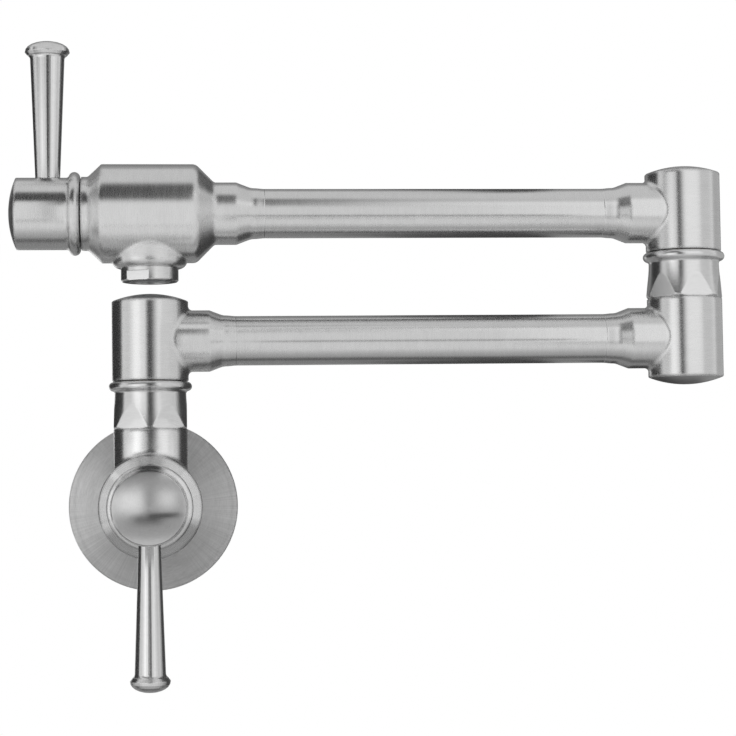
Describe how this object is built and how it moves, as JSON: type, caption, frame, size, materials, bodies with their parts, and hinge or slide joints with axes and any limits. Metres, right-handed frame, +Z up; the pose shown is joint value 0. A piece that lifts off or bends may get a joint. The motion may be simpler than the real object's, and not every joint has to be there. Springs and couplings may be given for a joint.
{
  "type": "wall mounted pot filler",
  "caption": "Wall mounted pot filler with two folding swivel arms, a lever valve at the wall, a lever valve at the spout and a round wall flange, in brushed nickel.",
  "frame": {"origin": "centre of the inlet thread at the back of the wall flange, on the wall's face", "axes": "+Y into the wall along the inlet, +X along the folded arms towards the elbow, +Z up"},
  "size_m": [0.3333, 0.1283, 0.295],
  "materials": {
    "body_steel": "brushed nickel finish, brushed round the hubs and knobs",
    "tube_steel": "brushed nickel finish, brushed round the tubes",
    "flange_steel": "brushed nickel finish, brushed in circles",
    "bright_steel": "finely brushed nickel finish, a little brighter",
    "screw_steel": "plain stainless",
    "brass": "machined",
    "ceramic": "lapped white ceramic",
    "nylon": "white nylon",
    "rubber_seal": "black rubber",
    "aerator_plastic": "grey plastic mesh"
  },
  "bodies": {
    "base": {"wall_flange": "flange_steel", "flange_seal": "rubber_seal", "flange_grub_screw": "screw_steel", "inlet_shank": "body_steel", "wall_valve_body": "body_steel", "wall_cartridge": "brass", "wall_cartridge_seal": "rubber_seal", "wall_fixed_disc": "ceramic", "wall_bonnet_nut": "brass", "base_swivel_nut": "bright_steel", "base_thrust_washer": "nylon"},
    "wall_handle": {"wall_moving_disc": "ceramic", "wall_stem": "brass", "wall_knob": "body_steel", "wall_knob_screw": "screw_steel", "wall_knob_cap": "body_steel", "wall_lever_stud": "brass", "wall_lever": "bright_steel"},
    "lower_arm": {"base_spigot": "brass", "base_o_rings": "rubber_seal", "lower_root_hub": "body_steel", "lower_root_cap": "body_steel", "lower_arm_tube": "tube_steel", "lower_elbow_hub": "body_steel", "lower_elbow_cap": "body_steel", "elbow_swivel_nut": "bright_steel", "elbow_thrust_washer": "nylon"},
    "upper_arm": {"elbow_spigot": "brass", "elbow_o_rings": "rubber_seal", "upper_elbow_hub": "body_steel", "upper_elbow_cap": "body_steel", "upper_arm_tube": "tube_steel", "spout_valve_body": "body_steel", "spout_cartridge": "brass", "spout_cartridge_seal": "rubber_seal", "spout_fixed_disc": "ceramic", "spout_bonnet_nut": "brass", "aerator_housing": "bright_steel", "aerator_insert": "aerator_plastic", "aerator_washer": "rubber_seal"},
    "spout_handle": {"spout_moving_disc": "ceramic", "spout_stem": "brass", "spout_knob": "body_steel", "spout_knob_screw": "screw_steel", "spout_knob_cap": "body_steel", "spout_lever_stud": "brass", "spout_lever": "bright_steel"}
  },
  "joints": [
    {"name": "wall_lever_turn", "type": "hinge", "parent": "base", "child": "wall_handle", "pos_m": [0, -0.1104, 0], "axis": [0, -1, 0], "range_deg": [0, 90]},
    {"name": "base_swing", "type": "hinge", "parent": "base", "child": "lower_arm", "pos_m": [0, -0.064, 0.0355], "axis": [0, 0, -1], "range_deg": [0, 180]},
    {"name": "elbow_swing", "type": "hinge", "parent": "lower_arm", "child": "upper_arm", "pos_m": [0.25, -0.064, 0.0945], "axis": [0, 0, 1], "range_deg": [-180, 180]},
    {"name": "spout_lever_turn", "type": "hinge", "parent": "upper_arm", "child": "spout_handle", "pos_m": [-0.0464, -0.064, 0.13505], "axis": [1, 0, 0], "range_deg": [0, 90]}
  ]
}
